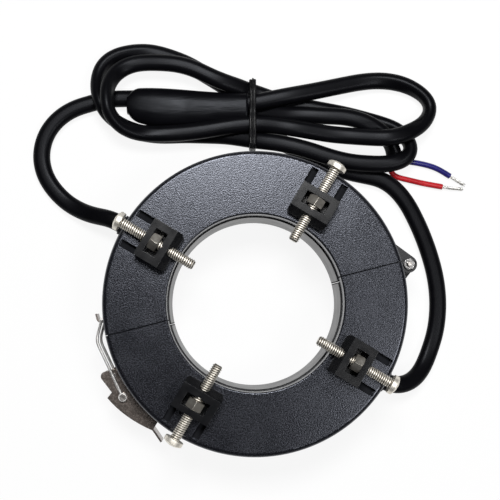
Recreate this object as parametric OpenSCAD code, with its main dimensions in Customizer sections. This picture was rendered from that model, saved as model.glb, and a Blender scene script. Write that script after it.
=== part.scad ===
// Split-core current transformer: a round housing in two hinged halves that close round a conductor.
// Origin: centre of the window, in the plane of the base. The halves part along the plane Y = 0,
// the hinge is on the +X side and the toggle latch on the -X side. Millimetres.

/* [Housing] */
// Radius of the housing's outer wall
outer_r = 73.5; // [72:0.5:78]
// Radius of the window that the conductor passes through
window_r = 42; // [38:0.5:43]
// Height of the closed housing
housing_h = 45; // [43:1:55]
// Height of the moulded cover on top of the tub
cover_h = 12; // [11:0.5:14]
// Thickness of the housing's side walls and floor
wall_t = 2.5; // [2:0.1:3]
// Thickness of the walls that close each half at the split
end_wall_t = 3; // [2:0.25:4]
// Thickness of the cover's top
cover_top_t = 4.2; // [3.6:0.2:5]
// Rounding of the cover's outer edge
edge_round = 2.2; // [1:0.2:3]
// Rounding of the window's top edge and of the base's outer edge
small_round = 0.8; // [0.4:0.1:1.2]
// Distance that the cover's inner wall stands back from the window's wall
cover_step = 0.7; // [0.3:0.1:1]
// Distance that the lower cover laps over the upper half at the split
lap_w = 2.1; // [1:0.1:3]
// Depth of the cover's tongue inside the tub
tongue_h = 2; // [1:0.25:3]
// Thickness of the cover's tongue
tongue_t = 1.1; // [0.8:0.1:1.4]

/* [Core] */
// Clearance between a winding and the housing's side walls
winding_side = 1.75; // [1.3:0.05:3]
// Clearance between a winding and the housing's floor
winding_floor = 1.25; // [0.5:0.05:3]
// Build-up of the winding and its tape on each face of the core
winding_t = 2.5; // [1.5:0.1:2.8]
// Angle from the split at which each winding starts and ends
winding_start = 14; // [10:1:30]

/* [Clamps] */
// Radius of the clamp block's inner end
block_in_r = 45.2; // [44.5:0.1:46]
// Radial length of the sloping nose of the block
block_slope = 3.4; // [2:0.2:4]
// Radial length of the block's front wall behind its slope
block_front = 3.4; // [3:0.1:4]
// Radial length of the nut pocket
pocket_len = 6.3; // [5.6:0.1:6.6]
// Width of the nut pocket
pocket_w = 12.4; // [11:0.2:13]
// Thickness of the block's rear wall
block_rear = 3.1; // [2.5:0.1:4]
// Width of the clamp block
block_w = 20; // [19:0.5:22]
// Height of the clamp block above the cover
block_h = 9.5; // [9:0.25:11]
// Width of each guide slot in the cover
slot_w = 3.6; // [3:0.1:4]
// Depth of the guide slots
slot_depth = 3.2; // [2:0.1:3.4]
// Radius at which the guide slots end
slot_out_r = 70.6; // [67:0.1:71]
// Height of the clamp screw's axis above the cover
screw_axis_h = 5.5; // [5:0.1:5.6]

/* [Clamp screws] */
// Radius of the clamp screw's shank
screw_r = 2.5; // [2:0.05:2.5]
// Length of the screw under its head
screw_len = 40; // [38:1:45]
// Radius at which the screw's tip stands
screw_tip_r = 34.2; // [33:0.2:36]
// Radius of the pan head
head_r = 4.75; // [4:0.05:5]
// Height of the pan head
head_h = 3.7; // [3:0.1:4]
// Width across the flats of the nut
nut_af = 8; // [7:0.1:8.5]
// Thickness of the nut
nut_t = 4.5; // [3.5:0.1:4.7]

/* [Hinge] */
// Distance of the hinge's axis outside the housing's wall
hinge_off = 4.5; // [4.4:0.1:5.5]
// Radius of the hinge's knuckles
knuckle_r = 4.2; // [3.5:0.05:4.3]
// Height of the bottom of the hinge
hinge_z0 = 6; // [4:0.5:8]
// Radius of the hinge bolt
hinge_pin_r = 1.25; // [1:0.05:1.5]
// Width across the flats of the hinge nut
hinge_nut_af = 5; // [4.5:0.1:5.5]
// Thickness of the hinge nut
hinge_nut_t = 2; // [1.6:0.1:2.4]
// Reach of the upper half's lug along the wall
upper_lug_reach = 13.6; // [11:0.2:16]
// Reach of the lower half's lug along the wall
lower_lug_reach = 9.4; // [7:0.1:11]

/* [Latch] */
// Thickness of the latch's sheet metal
sheet_t = 0.8; // [0.6:0.05:1]
// Diameter of the bail's wire
wire_d = 1.5; // [1.2:0.05:1.6]
// Distance of the bail's bar from the split plane
bar_y = 10.9; // [10:0.1:12]
// Distance of the lever's pivot from the split plane
pivot_y = 17.5; // [16:0.1:19]
// Distance of the bail's eyes from the split plane
eye_y = 28.8; // [28:0.1:31]
// Radius of the lever's pivot pin
latch_pin_r = 1.1; // [0.9:0.05:1.2]
// Outer width of the lever
lever_w = 13.2; // [12:0.2:15]
// Width of the keeper
keeper_w = 10; // [8:0.5:11]
// Distance between the inner faces of the base's ears
ear_gap = 9; // [8:0.2:9.4]
// Radius of the rivets' shanks
rivet_r = 1.2; // [1:0.05:1.4]

/* [Cable] */
// Width of the flat oval cable
cable_w = 8.8; // [8:0.1:9.2]
// Thickness of the flat oval cable
cable_t = 6.4; // [5.6:0.1:6.6]
// Diameter of each insulated core
core_wire_d = 3; // [2.4:0.1:3.2]
// Diameter of each bare stranded conductor
strand_d = 1.5; // [1.2:0.1:1.8]
// Height of the cable's way out of the housing
exit_z = 14; // [12:0.5:16]
// Radial length of the grommet's nose outside the wall
grommet_nose = 4.5; // [3:0.25:6]
// Height of the tied hank
hank_h = 13.9; // [13:0.1:14]
// Thickness of the tie's band
tie_t = 1; // [0.8:0.1:1.1]
// Width of each of the tie's two turns
tie_w = 1.9; // [1.6:0.1:2.2]

/* [Fits] */
// Half of the gap between the halves' end walls
split_gap = 0.15; // [0.1:0.05:0.3]
// Clearance of a part seated in or on another
seat_gap = 0.1; // [0.05:0.05:0.2]
// Clearance between parts that move past each other
move_gap = 0.3; // [0.2:0.05:0.35]
// Radial clearance of a pin, bolt or rivet in its hole
pin_gap = 0.05; // [0.03:0.01:0.08]
// Radial clearance of the clamp screw in its block
screw_hole_gap = 0.25; // [0.15:0.05:0.35]

/* [Hidden] */

$fn = 96;
far = 400;

// Housing
cover_z = housing_h - cover_h;
trough_in_r = window_r + wall_t;
trough_out_r = outer_r - wall_t;
split_in = split_gap + end_wall_t;

// Core and winding, centred in the tub's trough
winding_head = 0.25;
core_in_r = trough_in_r + winding_side + winding_t;
core_out_r = trough_out_r - winding_side - winding_t;
core_z = wall_t + winding_floor + winding_t;
core_h = cover_z - winding_head - winding_t - core_z;

// Clamps, in a frame with X outwards along the radius and Z = 0 on the cover
clamp_count = 4;
block_out_r = block_in_r + block_slope + block_front + pocket_len + block_rear;
pocket_in_r = block_in_r + block_slope + block_front;
pocket_floor = 0.6;
sight_r = 0.9;
slope_drop = 5.5;
foot_in_r = block_in_r + block_slope;
nut_in_r = pocket_in_r + pocket_len - nut_t - seat_gap;
thread_fit = 0.03;

// Hinge
hinge_x = outer_r + hinge_off;
hinge_z1 = cover_z;
knuckle_h = (hinge_z1 - hinge_z0) / 3;
bolt_head_h = 2;
bolt_head_r = 2.4;
bolt_end = 1;
bolt_tip = 0.4;
lug_root = 1.5;
nut_chamfer = 0.5;

// Latch, across the middle of the housing's height
latch_z = 20;
function on_wall(y, out) = [-sqrt(outer_r * outer_r - y * y) - out, y];
bar_out = 2.2;
pivot_out = 4.5;
eye_out = 6.4;
bend_out = 6.6;
bar_at = on_wall(bar_y, bar_out);
pivot_at = on_wall(-pivot_y, pivot_out);
eye_at = on_wall(-eye_y, eye_out);
bend_at = [-outer_r - bend_out, 1.2];
plate_r = outer_r + seat_gap / 2;
hook_w = 1.8;
leg_gap = 0.65;
leg_z = lever_w / 2 + leg_gap + wire_d / 2;
eye_r = 2.1;
cheek_r = 2.9;
ear_r = 2.6;
ear_flare = 1.6;
pin_flange = 0.5;
rivet_head_r = 2;
rivet_head_h = 0.7;
rivet_tail = 0.8;
rivet_slope = 0.6;
lever_t = 0.9;
keeper_top_y = 27;
keeper_rivet_y = 21.5;
rivet_z = 3;
base_rivet_ys = [-11.5, -24.5];
base_from_y = -8.5;
base_to_y = -27.5;

// Lever: points of its web and of its cheeks, set out from the bail's eyes, and the cheeks' outer lobe
web_start = eye_at + [-7.6, 1.4];
web_mid = eye_at + [-1.9, -10.2];
web_end = eye_at + [10, -19.4];
web_flare = eye_at + [11, -22];
web_tip = eye_at + [12.5, -26.1];
cheek_neck = eye_at + [-4.8, 3.5];
cheek_gap = 0.6;
cheek_from_y = -21;
cheek_to_y = -44;
lobe_at = pivot_at + [-4.1, 0.6];
lobe_r = 2.3;

// Grommets: rubber round the cable in the wall, in the flanges and in the nose
grommet_wall = 1.5;
flange_wall = 2.8;
flange_t = 1.6;
inner_flange_t = 1.2;
nose_wall = 0.9;

// Cable routes: the middle of the cable, from the housing outwards
upper_route = [
    [-49.5, 49.5, exit_z], [-55.5, 55.5, exit_z], [-61, 60, 12.7], [-68, 63.5, 9.2], [-74.5, 68, 5.6],
    [-81, 74.5, 3.6], [-86, 83, 3.3], [-88.5, 91.5, 3.3], [-88.3, 100, 3.3], [-85.2, 108, 3.3],
    [-80, 114.3, 3.3], [-73, 118.8, 3.3], [-65, 121.2, 3.3], [-57, 121.6, 3.3], [-48.5, 120.6, 3.3],
    [-38, 118.2, 3.6]
];
lower_route = [
    [49.5, -49.5, exit_z], [55.5, -55.5, exit_z], [61.4, -58.3, 12.6], [68.8, -57.9, 9.4], [75.4, -54, 6],
    [82, -46.2, 3.8], [88.5, -35.5, 3.3], [93, -22.5, 3.3], [95, -9, 3.3], [94.8, 5, 3.3],
    [92.2, 18.5, 3.3], [87.8, 31, 3.3], [81.5, 41, 3.3], [73, 48.5, 3.3], [63.5, 55, 3.3],
    [54, 62.5, 3.3], [45, 69.5, 3.3], [37.5, 75.5, 3.3], [30.5, 81.5, 3.3]
];
red_route = [
    [88.8, 56.5, 3.3], [88.2, 53, 3.2], [87.6, 50, 2.6], [87.7, 46.9, 2], [90, 44.2, 1.6],
    [94.5, 41.9, 1.6], [101.5, 38.3, 1.6], [109.5, 34.4, 1.6]
];
blue_route = [
    [91.6, 58.5, 3.3], [91.8, 56.2, 3.3], [92.6, 54.2, 3.2], [94.9, 52.6, 2.8], [98.5, 51.4, 2.2],
    [104, 49, 1.6], [109.8, 45.2, 1.6], [115, 39.6, 1.6]
];
red_strand_route = [[109.5, 34.4, 1.6], [113.6, 32.4, 1.6], [117, 31.3, 1.2], [120, 30.4, 0.8]];
blue_strand_route = [[115, 39.6, 1.6], [117.6, 36.8, 1.6], [119.6, 34.6, 1.2], [121.5, 32.6, 0.8]];
sleeve_from = [-38, 115.6];
sleeve_to = [17.5, 102];
left_lobe = [-27, 118.5, 29];
right_lobe = [99, 80.5, 19.5];
inner_lobe = [90, 62, 14.5];
waist_len = 5;
sleeve_w = 16;
sleeve_h = 9.6;
tie_at = [23.3, 95];
tie_turn = -14.2;
tie_len = 40.4;
hank_lift = 0.05;

// Unit vector along v
function unit(v) = v / norm(v);

// Half of space beyond the plane Y = y0
module beyond(y0) {
    intersection() {
        children();
        translate([-far, y0, -far])
            cube([2 * far, 2 * far, 2 * far]);
    }
}

// Rectangle between two radii and two heights, to be turned round the axis
module section(r0, r1, z0, z1) {
    translate([r0, z0])
        square([r1 - r0, z1 - z0]);
}

// Waste outside a rounded corner at the origin, for a body that lies towards -X and -Z
module corner_waste(r) {
    translate([-r, -r])
        difference() {
            square(r + 1);
            circle(r);
        }
}

// The housing's outline in section from an inner radius: a wide round on top, small ones at the
// window's top and at the base
module housing_section(in_r) {
    difference() {
        section(in_r, outer_r, 0, housing_h);
        translate([outer_r, housing_h])
            corner_waste(edge_round);
        translate([outer_r, 0])
            mirror([0, 1])
                corner_waste(small_round);
        translate([in_r, housing_h])
            mirror([1, 0])
                corner_waste(small_round);
    }
}

module core_section(extra) {
    section(core_in_r - extra, core_out_r + extra, core_z - extra, core_z + core_h + extra);
}

// One half of the tub, at Y > 0: a trough that is closed at the split except for the core
module tub_half() {
    difference() {
        beyond(split_gap)
            rotate_extrude()
                intersection() {
                    housing_section(window_r);
                    section(window_r, outer_r, 0, cover_z);
                }
        beyond(split_in)
            rotate_extrude()
                section(trough_in_r, trough_out_r, wall_t, housing_h);
        rotate_extrude()
            core_section(seat_gap);
    }
}

// One half of the cover, at Y > face_y, with a tongue that drops into the tub
module cover_half(face_y) {
    inner_y = face_y + end_wall_t;
    difference() {
        beyond(face_y)
            rotate_extrude()
                intersection() {
                    housing_section(window_r + cover_step);
                    section(window_r, outer_r, cover_z, housing_h);
                }
        beyond(inner_y)
            rotate_extrude()
                section(trough_in_r, trough_out_r, cover_z - 1, housing_h - cover_top_t);
    }
    tongue_z = cover_z - tongue_h;
    beyond(max(inner_y, split_in) + seat_gap)
        rotate_extrude() {
            section(trough_in_r + seat_gap, trough_in_r + seat_gap + tongue_t, tongue_z, cover_z);
            section(trough_out_r - seat_gap - tongue_t, trough_out_r - seat_gap, tongue_z, cover_z);
            section(trough_in_r, trough_in_r + seat_gap + tongue_t, cover_z, cover_z + 1);
            section(trough_out_r - seat_gap - tongue_t, trough_out_r, cover_z, cover_z + 1);
        }
}

// Guide slots of two clamps in one half of the cover
module clamp_slots(first) {
    for (i = [first, first + 1])
        at_clamp(i)
            for (side = [-1, 1])
                translate([foot_in_r - seat_gap, side * (block_w - slot_w) / 2 - slot_w / 2, -slot_depth])
                    cube([slot_out_r - foot_in_r + seat_gap, slot_w, slot_depth + 1]);
}

// Moves a part from the clamp's frame to clamp i, counted from the hinge
module at_clamp(i) {
    rotate([0, 0, (i + 0.5) * 360 / clamp_count])
        translate([0, 0, housing_h])
            children();
}

// Oval hole or plug along the radius through the outer wall
module oval_bar(w, h, from_r, to_r) {
    translate([from_r, 0, exit_z])
        rotate([90, 0, 90])
            linear_extrude(to_r - from_r)
                oval(w, h);
}

module oval(w, h) {
    for (side = [-1, 1])
        translate([side * (w - h) / 2, 0])
            circle(d = h);
    square([w - h, h], center = true);
}

// Outline of a hinge lug: a knuckle with a web that runs tangent to it down to the wall
module lug_outline(reach) {
    wall_at = [sqrt(outer_r * outer_r - reach * reach), reach];
    to_wall = wall_at - [hinge_x, 0];
    touch_angle = atan2(to_wall.y, to_wall.x) - acos(knuckle_r / norm(to_wall));
    touch_at = [hinge_x, 0] + knuckle_r * [cos(touch_angle), sin(touch_angle)];
    translate([hinge_x, 0])
        circle(knuckle_r);
    polygon([
        touch_at, wall_at, wall_at - [lug_root, 0], [outer_r - lug_root, split_gap],
        [hinge_x, split_gap]
    ]);
}

// Hinge lug between two heights, drilled for the bolt
module hinge_lug(reach, z0, z1) {
    difference() {
        translate([0, 0, z0])
            linear_extrude(z1 - z0)
                lug_outline(reach);
        cylinder(r = trough_out_r + 0.5, h = housing_h);
    }
}

module hinge_drill() {
    translate([hinge_x, 0, hinge_z0 - 1])
        cylinder(r = hinge_pin_r + pin_gap, h = hinge_z1 - hinge_z0 + 2);
}

// Places a part on the wall, its X axis pointing outwards, at distance y from the split plane
module on_wall_at(y, z) {
    rotate([0, 0, 180 - asin(y / outer_r)])
        translate([0, 0, z])
            children();
}

// Rivet through a latch plate and the wall
module rivet(extra) {
    rotate([0, 90, 0]) {
        translate([0, 0, trough_out_r - rivet_tail])
            cylinder(r = rivet_r + extra, h = plate_r + sheet_t - trough_out_r + rivet_tail);
        if (extra == 0) {
            translate([0, 0, plate_r + sheet_t])
                cylinder(r1 = rivet_head_r, r2 = rivet_head_r - rivet_slope, h = rivet_head_h);
            translate([0, 0, trough_out_r - rivet_tail])
                cylinder(r = rivet_head_r, h = rivet_tail - seat_gap / 2);
        }
    }
}

module keeper_rivet_set(extra) {
    for (side = [-1, 1])
        on_wall_at(keeper_rivet_y, latch_z + side * rivet_z)
            rivet(extra);
}

module base_rivet_set(extra) {
    for (y = base_rivet_ys)
        on_wall_at(y, latch_z)
            rivet(extra);
}

module upper_case() {
    color([0.09, 0.09, 0.1])
        difference() {
            union() {
                tub_half();
                hinge_lug(upper_lug_reach, hinge_z0, hinge_z0 + knuckle_h - move_gap / 2);
                hinge_lug(upper_lug_reach, hinge_z1 - knuckle_h + move_gap / 2, hinge_z1);
            }
            hinge_drill();
            keeper_rivet_set(pin_gap);
            rotate([0, 0, 135])
                cable_hole();
        }
}

module lower_case() {
    color([0.09, 0.09, 0.1])
        difference() {
            union() {
                rotate([0, 0, 180])
                    tub_half();
                mirror([0, 1, 0])
                    hinge_lug(lower_lug_reach, hinge_z0 + knuckle_h + move_gap / 2,
                        hinge_z1 - knuckle_h - move_gap / 2);
            }
            hinge_drill();
            base_rivet_set(pin_gap);
            rotate([0, 0, -45])
                cable_hole();
        }
}

module upper_cover() {
    color([0.11, 0.11, 0.12])
        difference() {
            cover_half(lap_w + move_gap);
            clamp_slots(0);
        }
}

module lower_cover() {
    color([0.11, 0.11, 0.12])
        difference() {
            rotate([0, 0, 180])
                cover_half(-lap_w);
            clamp_slots(2);
            translate([-far, -split_gap, cover_z - 1])
                cube([2 * far, far, 1 + move_gap]);
        }
}

// Half of the wound strip core, ground flat where it meets the other half
module core_half() {
    color([0.45, 0.46, 0.48])
        beyond(0)
            rotate_extrude()
                core_section(0);
}

module upper_core() {
    core_half();
}

module lower_core() {
    rotate([0, 0, 180])
        core_half();
}

// Taped winding that encloses the core between its ends
module winding() {
    color([0.75, 0.55, 0.15])
        rotate([0, 0, winding_start])
            rotate_extrude(angle = 180 - 2 * winding_start)
                difference() {
                    core_section(winding_t);
                    core_section(seat_gap);
                }
}

module upper_winding() {
    winding();
}

module lower_winding() {
    rotate([0, 0, 180])
        winding();
}

module hinge_bolt() {
    color([0.75, 0.75, 0.77])
        translate([hinge_x, 0, 0]) {
            translate([0, 0, hinge_z0])
                cylinder(r = hinge_pin_r, h = hinge_z1 - hinge_z0 + hinge_nut_t + bolt_end);
            translate([0, 0, hinge_z0 - bolt_head_h])
                cylinder(r = bolt_head_r, h = bolt_head_h);
            translate([0, 0, hinge_z1 + hinge_nut_t + bolt_end])
                cylinder(r1 = hinge_pin_r, r2 = hinge_pin_r - bolt_tip, h = bolt_tip);
        }
}

// Hexagonal nut with chamfered corners on its top, standing on Z = 0
module hex_nut(af, h, bore_r) {
    corner_r = af / 2 / cos(30);
    difference() {
        intersection() {
            cylinder(r = corner_r, h = h, $fn = 6);
            union() {
                cylinder(r = corner_r, h = h - nut_chamfer);
                translate([0, 0, h - nut_chamfer])
                    cylinder(r1 = corner_r, r2 = corner_r - nut_chamfer, h = nut_chamfer);
            }
        }
        translate([0, 0, -1])
            cylinder(r = bore_r, h = h + 2);
    }
}

module hinge_nut() {
    color([0.78, 0.78, 0.8])
        translate([hinge_x, 0, hinge_z1])
            hex_nut(hinge_nut_af, hinge_nut_t, hinge_pin_r + thread_fit);
}

// Strip of sheet metal along a chain of points, thickness t to the left of the chain
module strip(points, t) {
    last = len(points) - 1;
    function side_of(i) =
        let (a = points[max(i - 1, 0)], b = points[min(i + 1, last)], d = unit(b - a))
            [-d.y, d.x];
    polygon(concat(
        points,
        [for (i = [last:-1:0]) points[i] + t * side_of(i)]
    ));
}

// Plate that is bent to the wall, between two distances from the split plane
module wall_plate(y0, y1, w) {
    a0 = 180 - asin(max(y0, y1) / outer_r);
    a1 = 180 - asin(min(y0, y1) / outer_r);
    rotate([0, 0, a0])
        rotate_extrude(angle = a1 - a0)
            section(plate_r, plate_r + sheet_t, latch_z - w / 2, latch_z + w / 2);
}

// Keeper: a plate on the wall whose end is rolled outwards into a hook for the bail's bar
module latch_keeper() {
    bend_y = bar_y - wire_d / 2 - move_gap + hook_w;
    inner_x = on_wall(bend_y, seat_gap / 2 + sheet_t).x;
    bend_x = inner_x - hook_w;
    lip_h = 2.5;
    color([0.72, 0.7, 0.68])
        difference() {
            union() {
                wall_plate(bend_y - 0.2, keeper_top_y, keeper_w);
                translate([bend_x, bend_y, latch_z - keeper_w / 2]) {
                    linear_extrude(keeper_w)
                        intersection() {
                            difference() {
                                circle(hook_w + sheet_t);
                                circle(hook_w);
                            }
                            translate([-far / 2, -far])
                                square(far);
                        }
                    translate([-hook_w - sheet_t, 0, 0])
                        cube([sheet_t, lip_h, keeper_w]);
                }
            }
            keeper_rivet_set(pin_gap);
            cylinder(r = plate_r, h = housing_h);
        }
}

module keeper_rivets() {
    color([0.8, 0.8, 0.8])
        keeper_rivet_set(0);
}

// Base: a plate on the wall with two ears that carry the lever's pivot
module latch_base() {
    ear_out = unit(pivot_at);
    ear_side = [-ear_out.y, ear_out.x];
    foot_at = (plate_r + sheet_t / 2) * ear_out;
    foot_half = ear_r + ear_flare;
    color([0.72, 0.7, 0.68])
        difference() {
            union() {
                wall_plate(base_from_y, base_to_y, ear_gap + 2 * lever_t);
                for (z = [latch_z - ear_gap / 2 - lever_t, latch_z + ear_gap / 2])
                    translate([0, 0, z])
                        linear_extrude(lever_t) {
                            translate(pivot_at)
                                circle(ear_r);
                            polygon([
                                pivot_at + ear_r * ear_side, foot_at + foot_half * ear_side,
                                foot_at - foot_half * ear_side, pivot_at - ear_r * ear_side
                            ]);
                        }
            }
            base_rivet_set(pin_gap);
            translate([pivot_at.x, pivot_at.y, 0])
                cylinder(r = latch_pin_r + pin_gap, h = housing_h);
            cylinder(r = plate_r, h = housing_h);
        }
}

module base_rivets() {
    color([0.8, 0.8, 0.8])
        base_rivet_set(0);
}

// Outer face of the lever's web, from above the bail's eyes to the flared tip of its handle
function bow(t) = (1 - t) * (1 - t) * web_start + 2 * t * (1 - t) * web_mid + t * t * web_end;
web_points = [for (i = [0:8]) bow(i / 8)];
web_line = concat(web_points, [web_flare, web_tip]);

// Lever: a channel of sheet metal, its web outside and its cheeks towards the wall
module latch_lever() {
    half_w = lever_w / 2;
    color([0.75, 0.73, 0.71])
        difference() {
            union() {
                translate([0, 0, latch_z - half_w])
                    linear_extrude(lever_w)
                        strip(web_line, lever_t);
                for (z = [latch_z - half_w, latch_z + half_w - lever_t])
                    translate([0, 0, z])
                        linear_extrude(lever_t) {
                            translate(pivot_at)
                                circle(cheek_r);
                            translate(lobe_at)
                                circle(lobe_r);
                            polygon(concat(
                                [
                                    pivot_at + cheek_r * unit([-0.15, 1]),
                                    lobe_at + lobe_r * unit([-0.15, 1]),
                                    lobe_at + lobe_r * unit([-0.9, -0.45]),
                                    cheek_neck
                                ],
                                web_points,
                                [for (y = [cheek_to_y:(cheek_from_y - cheek_to_y) / 5:cheek_from_y])
                                    on_wall(y, cheek_gap)],
                                [pivot_at + cheek_r * unit([1, -0.25])]
                            ));
                        }
            }
            translate([pivot_at.x, pivot_at.y, 0])
                cylinder(r = latch_pin_r + pin_gap, h = housing_h);
            translate([eye_at.x, eye_at.y, 0])
                cylinder(r = latch_pin_r + pin_gap, h = housing_h);
        }
}

module latch_pivot_pin() {
    pin_h = lever_w + 0.2;
    color([0.8, 0.8, 0.8])
        translate([pivot_at.x, pivot_at.y, latch_z - pin_h / 2])
            cylinder(r = latch_pin_r, h = pin_h);
}

module bail_pin() {
    pin_h = 2 * leg_z + wire_d + 0.2;
    color([0.8, 0.8, 0.8])
        translate([eye_at.x, eye_at.y, latch_z - pin_h / 2]) {
            cylinder(r = latch_pin_r, h = pin_h);
            for (z = [-pin_flange, pin_h])
                translate([0, 0, z])
                    cylinder(r = latch_pin_r + pin_flange, h = pin_flange);
        }
}

// Middle line of the bail's legs, with its crank rounded off
function crank(t) =
    let (a = bend_at + crank_round * unit(eye_at - bend_at),
        b = bend_at + crank_round * unit(bar_at - bend_at))
        (1 - t) * (1 - t) * a + 2 * t * (1 - t) * bend_at + t * t * b;
crank_round = 3;
leg_line = concat([eye_at], [for (i = [0:3]) crank(i / 3)], [bar_at]);

// Bail: a wire loop with an eye on each leg and a crank that clears the joint of the halves
module latch_bail() {
    color([0.78, 0.76, 0.74])
        difference() {
            union() {
                for (side = [-1, 1]) {
                    z = latch_z + side * leg_z;
                    translate([eye_at.x, eye_at.y, z - wire_d / 2])
                        cylinder(r = eye_r, h = wire_d);
                    sweep([for (p = leg_line) [p.x, p.y, z]], wire_d, wire_d, 10);
                }
                translate([bar_at.x, bar_at.y, latch_z - leg_z - wire_d / 2])
                    cylinder(d = wire_d, h = 2 * leg_z + wire_d);
            }
            translate([eye_at.x, eye_at.y, 0])
                cylinder(r = latch_pin_r + pin_gap, h = housing_h);
        }
}

// Clamp block: slides in the cover's slots, holds the nut in a pocket and guides the screw
module clamp_block(i) {
    foot_w = slot_w - 2 * seat_gap;
    foot_depth = slot_depth - seat_gap;
    corner = 1.2;
    color([0.08, 0.08, 0.09])
        at_clamp(i)
            difference() {
                union() {
                    intersection() {
                        linear_extrude(block_h)
                            polygon([
                                [block_in_r, corner - block_w / 2], [block_in_r + corner, -block_w / 2],
                                [block_out_r, -block_w / 2], [block_out_r, block_w / 2],
                                [block_in_r + corner, block_w / 2], [block_in_r, block_w / 2 - corner]
                            ]);
                        translate([0, block_w / 2, 0])
                            rotate([90, 0, 0])
                                linear_extrude(block_w)
                                    polygon([
                                        [block_in_r, 0], [block_out_r, 0], [block_out_r, block_h],
                                        [foot_in_r, block_h], [block_in_r, block_h - slope_drop]
                                    ]);
                    }
                    for (side = [-1, 1])
                        translate([foot_in_r, side * (block_w - slot_w) / 2 - foot_w / 2, -foot_depth])
                            cube([block_out_r - foot_in_r, foot_w, foot_depth + 1]);
                }
                translate([pocket_in_r, -pocket_w / 2, pocket_floor])
                    cube([pocket_len, pocket_w, block_h]);
                translate([block_in_r - 1, 0, screw_axis_h])
                    rotate([0, 90, 0])
                        cylinder(r = screw_r + screw_hole_gap, h = block_out_r - block_in_r + 2);
                translate([pocket_in_r, 0, screw_axis_h])
                    cylinder(r = sight_r, h = block_h);
            }
}

// Pan-head screw, its axis along the radius and its tip inside the window
module clamp_screw(i) {
    crown = 1.4;
    crown_r = (head_r * head_r + crown * crown) / (2 * crown);
    tip = 0.6;
    slot_t = 0.9;
    slot_len = 4.8;
    slot_h = 1.9;
    color([0.8, 0.78, 0.72])
        at_clamp(i)
            translate([screw_tip_r, 0, screw_axis_h])
                rotate([0, 90, 0])
                    difference() {
                        union() {
                            cylinder(r1 = screw_r - tip, r2 = screw_r, h = tip);
                            translate([0, 0, tip])
                                cylinder(r = screw_r, h = screw_len - tip);
                            translate([0, 0, screw_len])
                                cylinder(r = head_r, h = head_h - crown);
                            intersection() {
                                translate([0, 0, screw_len + head_h - crown_r])
                                    sphere(crown_r);
                                translate([0, 0, screw_len])
                                    cylinder(r = head_r, h = head_h + 1);
                            }
                        }
                        for (turn = [0, 90])
                            rotate([0, 0, turn])
                                translate([-slot_len / 2, -slot_t / 2, screw_len + head_h - slot_h])
                                    cube([slot_len, slot_t, head_h]);
                    }
}

// Nut with one corner up, against the rear wall of its pocket
module clamp_nut(i) {
    color([0.8, 0.79, 0.75])
        at_clamp(i)
            translate([nut_in_r, 0, screw_axis_h])
                rotate([0, 90, 0])
                    hex_nut(nut_af, nut_t, screw_r + thread_fit);
}

// Oval bar round the cable's way out, wall thicker than the cable on every side
module cable_bar(wall, from_r, to_r) {
    oval_bar(cable_w + 2 * wall, cable_t + 2 * wall, from_r, to_r);
}

// Hole in the wall for a grommet
module cable_hole() {
    cable_bar(grommet_wall, trough_out_r - 1, outer_r + 1);
}

// Rubber grommet in the wall, with a flange outside and a tapered nose
module grommet() {
    flange_out_r = outer_r + flange_t;
    color([0.06, 0.06, 0.06])
        difference() {
            union() {
                cable_bar(grommet_wall - seat_gap, trough_out_r - inner_flange_t, flange_out_r);
                intersection() {
                    cable_bar(flange_wall, trough_out_r, flange_out_r);
                    rotate_extrude()
                        section(outer_r + seat_gap, flange_out_r + 1, 0, cover_z);
                }
                cable_bar(nose_wall, outer_r, outer_r + grommet_nose);
            }
            cable_bar(seat_gap, trough_out_r - inner_flange_t - 1, outer_r + grommet_nose + 1);
        }
}

module upper_grommet() {
    rotate([0, 0, 135])
        grommet();
}

module lower_grommet() {
    rotate([0, 0, -45])
        grommet();
}

// Sweeps an oval along a route; each ring stands square to the route there
module sweep(route, w, h, sides) {
    last = len(route) - 1;
    function along(i) = unit(route[min(i + 1, last)] - route[max(i - 1, 0)]);
    function across(i) = let (t = along(i)) unit([-t.y, t.x, 0]);
    function up(i) = cross(along(i), across(i));
    points = [
        for (i = [0:last], k = [0:sides - 1])
            let (a = (k + 0.5) * 360 / sides)
                route[i] + w / 2 * cos(a) * across(i) + h / 2 * sin(a) * up(i)
    ];
    sides_faces = [
        for (i = [0:last - 1], k = [0:sides - 1])
            let (a = i * sides + k, b = i * sides + (k + 1) % sides)
                each [[a, a + sides, b], [b, a + sides, b + sides]]
    ];
    ends = [
        [for (k = [0:sides - 1]) k],
        [for (k = [sides - 1:-1:0]) last * sides + k]
    ];
    polyhedron(points, concat(sides_faces, ends));
}

module upper_lead() {
    color([0.05, 0.05, 0.05])
        sweep(upper_route, cable_w, cable_t, 10);
}

module lower_lead() {
    color([0.05, 0.05, 0.05])
        sweep(lower_route, cable_w, cable_t, 10);
}

// Heat-shrink sleeve over the splice of the two leads and the output cable
module sleeve_body(extra) {
    d = sleeve_to - sleeve_from;
    translate([sleeve_from.x, sleeve_from.y, sleeve_h / 2])
        rotate([0, 0, atan2(d.y, d.x)])
            translate([-extra, 0, 0])
                rotate([90, 0, 90])
                    linear_extrude(norm(d) + 2 * extra)
                        oval(sleeve_w + 2 * extra, sleeve_h + 2 * extra);
}

module splice_sleeve() {
    color([0.04, 0.04, 0.04])
        sleeve_body(0);
}

// Outline of the tied hank: two lobes that are drawn together under the tie
module hank_outline() {
    $fn = 32;
    hull() {
        lobe(left_lobe);
        hank_waist();
    }
    hull() {
        lobe(right_lobe);
        lobe(inner_lobe);
        hank_waist();
    }
}

module lobe(c) {
    translate([c.x, c.y])
        circle(c.z);
}

module hank_waist() {
    translate(tie_at)
        rotate(tie_turn)
            square([waist_len, tie_len - 2 * tie_t], center = true);
}

// Moves a part to the tie's frame, with X along the cable
module at_tie() {
    translate([tie_at.x, tie_at.y, hank_lift])
        rotate([0, 0, tie_turn])
            children();
}

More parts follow.
